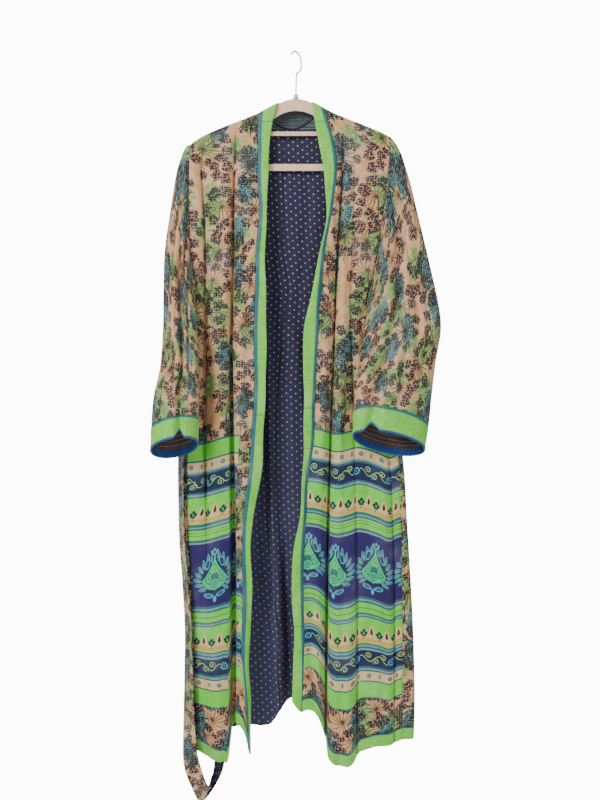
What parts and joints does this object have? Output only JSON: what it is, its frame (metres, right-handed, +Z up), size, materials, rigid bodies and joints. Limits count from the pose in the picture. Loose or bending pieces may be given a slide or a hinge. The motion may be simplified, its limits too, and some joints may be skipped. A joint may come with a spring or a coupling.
{
  "type": "kimono robe on a clothes hanger",
  "caption": "Long open kimono robe with wide sleeves, bordered skirt, lining and belt, hanging flat on a clothes hanger.",
  "frame": {"origin": "seat of the hanger's hook, the inner top of its bend, where a rod or wall hook carries it", "axes": "+X to the viewer's right across the shoulders (the wearer's left), +Y to the back of the robe, +Z up"},
  "size_m": [0.5888, 0.1374, 1.5386],
  "materials": {
    "printed_silk": "printed silk, floral on tan with green and navy border bands, soft sheen",
    "green_silk": "plain lime green silk with a teal edge, soft sheen",
    "dotted_lining": "navy lining cloth printed with small cream dots, matt",
    "woven_facing": "teal and navy woven facing",
    "blue_binding": "royal blue bias binding",
    "hanger_velvet": "beige flocked plastic, matt",
    "hook_steel": "polished wire"
  },
  "bodies": {
    "root": {"front_right": "printed_silk", "front_left": "printed_silk", "back": "printed_silk", "sleeve_right": "printed_silk", "sleeve_left": "printed_silk", "belt": "printed_silk", "belt_loop": "printed_silk", "front_band_right": "green_silk", "front_band_left": "green_silk", "neck_band": "green_silk", "cuff_right": "green_silk", "cuff_left": "green_silk", "hem_front_right": "green_silk", "hem_front_left": "green_silk", "hem_back": "green_silk", "back_lining": "dotted_lining", "cuff_lining_right": "dotted_lining", "cuff_lining_left": "dotted_lining", "neck_facing": "woven_facing", "cuff_binding_right": "blue_binding", "cuff_binding_left": "blue_binding", "hanger_frame": "hanger_velvet", "hanger_collar": "hanger_velvet", "hanger_hook": "hook_steel"}
  },
  "joints": []
}
